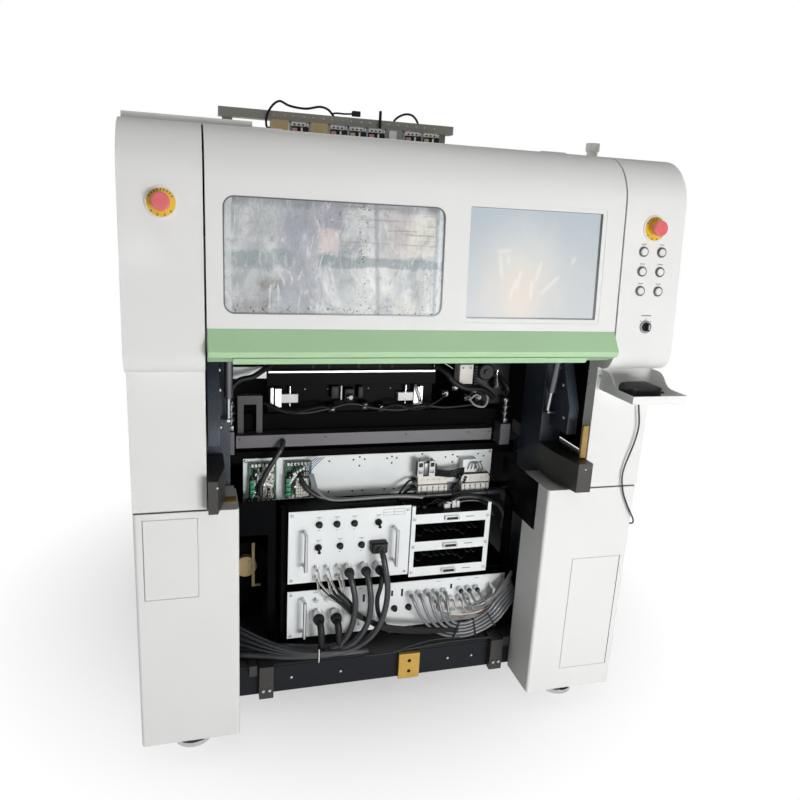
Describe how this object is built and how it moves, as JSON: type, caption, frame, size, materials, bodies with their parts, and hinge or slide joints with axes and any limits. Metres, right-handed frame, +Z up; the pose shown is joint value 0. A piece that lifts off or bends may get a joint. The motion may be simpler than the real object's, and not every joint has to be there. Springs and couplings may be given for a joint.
{
  "type": "pick and place machine",
  "caption": "Free-standing chip mounter with lifting front hood, window and screen, open feeder bay with control rack, button columns, mouse tray and a gantry with a rotary head.",
  "frame": {"origin": "on the floor, under the middle of the machine's outer box", "axes": "+X to the machine's right as seen from its front, -Y towards the front, +Z up"},
  "size_m": [1.234, 1.9384, 1.5674],
  "materials": {
    "cover_white": "semi-gloss paint on folded sheet",
    "panel_white": "satin paint",
    "green_paint": "satin sage green paint",
    "window_smoke": "tinted clear acrylic, lightly smudged",
    "screen_grey": "grey screen behind clear plastic",
    "frame_navy": "dark blue-black paint",
    "frame_black": "satin black paint",
    "beam_grey": "dark grey paint",
    "bright_steel": "ground steel",
    "strut_grey": "dark grey lacquered tube",
    "black_plastic": "fine textured moulding",
    "cable_black": "matt cable sheath",
    "bezel_yellow": "yellow legend discs, bright rings",
    "stop_red": "faded red moulding",
    "button_white": "pale moulding",
    "board_green": "green circuit board",
    "valve_tan": "tan and grey mouldings"
  },
  "bodies": {
    "frame": {"levelling_feet": "bright_steel", "base_frame": "frame_navy", "cover_frame": "frame_black", "side_frames": "frame_navy", "machine_bed": "frame_black", "deck_beam": "beam_grey", "left_lower_cover": "cover_white", "right_lower_cover": "cover_white", "left_upper_cover": "cover_white", "right_upper_cover": "cover_white", "side_panels": "cover_white", "rear_covers": "cover_white", "access_panels": "cover_white", "roof_panel": "cover_white", "hinge_pins": "bright_steel", "top_rail": "valve_tan", "rail_leads": "cable_black", "beacon_base": "button_white", "switch_bezels": "bezel_yellow", "mouse_tray": "cover_white", "mouse": "black_plastic", "mouse_cord": "cable_black", "cord_gland": "black_plastic", "dock_guides": "frame_black", "rack_frame": "frame_black", "board_panel": "panel_white", "circuit_boards": "board_green", "valve_blocks": "valve_tan", "control_box": "panel_white", "card_rack": "panel_white", "io_box": "panel_white", "rack_handles": "bright_steel", "rack_fittings": "black_plastic", "bay_cables": "cable_black", "vacuum_pump": "valve_tan", "feeder_bank": "frame_black", "y_rails": "bright_steel", "fixed_conveyor": "bright_steel"},
    "front_hood": {"front_hood": "cover_white", "hood_window": "window_smoke", "monitor": "screen_grey", "green_strip": "green_paint"},
    "rear_hood": {"rear_hood": "cover_white"},
    "strut_rods": {"strut_rods": "bright_steel"},
    "strut_tubes": {"strut_tubes": "strut_grey"},
    "left_estop": {"left_estop": "stop_red"},
    "right_estop": {"right_estop": "stop_red"},
    "button_1": {"button_1": "button_white"},
    "button_2": {"button_2": "button_white"},
    "button_3": {"button_3": "button_white"},
    "button_4": {"button_4": "button_white"},
    "button_5": {"button_5": "button_white"},
    "button_6": {"button_6": "button_white"},
    "selector_knob": {"selector_knob": "black_plastic"},
    "toggle_1": {"toggle_1": "black_plastic"},
    "toggle_2": {"toggle_2": "black_plastic"},
    "moving_conveyor": {"moving_conveyor": "bright_steel"},
    "x_beam": {"x_beam": "beam_grey"},
    "head_carriage": {"head_carriage": "panel_white"},
    "rotary_head": {"rotary_head": "bright_steel"}
  },
  "joints": [
    {"name": "front_hood_hinge", "type": "hinge", "parent": "frame", "child": "front_hood", "pos_m": [0, -0.73917, 1.431], "axis": [-1, 0, 0], "range_deg": [0, 68]},
    {"name": "rear_hood_hinge", "type": "hinge", "parent": "frame", "child": "rear_hood", "pos_m": [0, 0.82083, 1.431], "axis": [1, 0, 0], "range_deg": [0, 68]},
    {"name": "strut_pivot", "type": "hinge", "parent": "frame", "child": "strut_rods", "pos_m": [0, -0.69717, 0.8], "axis": [-1, 0, 0], "range_deg": [0, 1]},
    {"name": "strut_slide", "type": "slide", "parent": "strut_rods", "child": "strut_tubes", "axis": [0, -0.19, 0.9818], "range_m": [0, 0.102]},
    {"name": "left_estop_press", "type": "slide", "parent": "frame", "child": "left_estop", "axis": [0, 0.9976, -0.0689], "range_m": [0, 0.004], "stiffness_N_per_m": 600},
    {"name": "right_estop_press", "type": "slide", "parent": "frame", "child": "right_estop", "axis": [0, 0.9976, -0.0689], "range_m": [0, 0.004], "stiffness_N_per_m": 600},
    {"name": "button_1_press", "type": "slide", "parent": "frame", "child": "button_1", "axis": [0, 0.9976, -0.0689], "range_m": [0, 0.0025], "stiffness_N_per_m": 500},
    {"name": "button_2_press", "type": "slide", "parent": "frame", "child": "button_2", "axis": [0, 0.9976, -0.0689], "range_m": [0, 0.0025], "stiffness_N_per_m": 500},
    {"name": "button_3_press", "type": "slide", "parent": "frame", "child": "button_3", "axis": [0, 0.9976, -0.0689], "range_m": [0, 0.0025], "stiffness_N_per_m": 500},
    {"name": "button_4_press", "type": "slide", "parent": "frame", "child": "button_4", "axis": [0, 0.9976, -0.0689], "range_m": [0, 0.0025], "stiffness_N_per_m": 500},
    {"name": "button_5_press", "type": "slide", "parent": "frame", "child": "button_5", "axis": [0, 0.9976, -0.0689], "range_m": [0, 0.0025], "stiffness_N_per_m": 500},
    {"name": "button_6_press", "type": "slide", "parent": "frame", "child": "button_6", "axis": [0, 0.9976, -0.0689], "range_m": [0, 0.0025], "stiffness_N_per_m": 500},
    {"name": "selector_turn", "type": "hinge", "parent": "frame", "child": "selector_knob", "pos_m": [0.5325, -0.88334, 1.055], "axis": [0, -0.9976, 0.0689], "range_deg": [-45, 45]},
    {"name": "toggle_1_flip", "type": "hinge", "parent": "frame", "child": "toggle_1", "pos_m": [-0.023, -0.65187, 0.4991], "axis": [-1, 0, 0], "range_deg": [0, 40]},
    {"name": "toggle_2_flip", "type": "hinge", "parent": "frame", "child": "toggle_2", "pos_m": [-0.18, -0.65187, 0.4391], "axis": [-1, 0, 0], "range_deg": [0, 40]},
    {"name": "conveyor_width", "type": "slide", "parent": "frame", "child": "moving_conveyor", "axis": [0, 1, 0], "range_m": [-0.2, 0.2]},
    {"name": "gantry_y", "type": "slide", "parent": "frame", "child": "x_beam", "axis": [0, 1, 0], "range_m": [-0.22, 0.42]},
    {"name": "head_x", "type": "slide", "parent": "x_beam", "child": "head_carriage", "axis": [1, 0, 0], "range_m": [-0.26, 0.26]},
    {"name": "head_spin", "type": "hinge", "parent": "head_carriage", "child": "rotary_head", "pos_m": [0, -0.21657, 1], "axis": [0, 0, 1], "continuous": true}
  ],
  "couplings": [
    {"joint": "strut_pivot", "follows": "front_hood_hinge", "ratio": 0.010708},
    {"joint": "strut_slide", "follows": "front_hood_hinge", "m_per_rad": 0.08454}
  ]
}
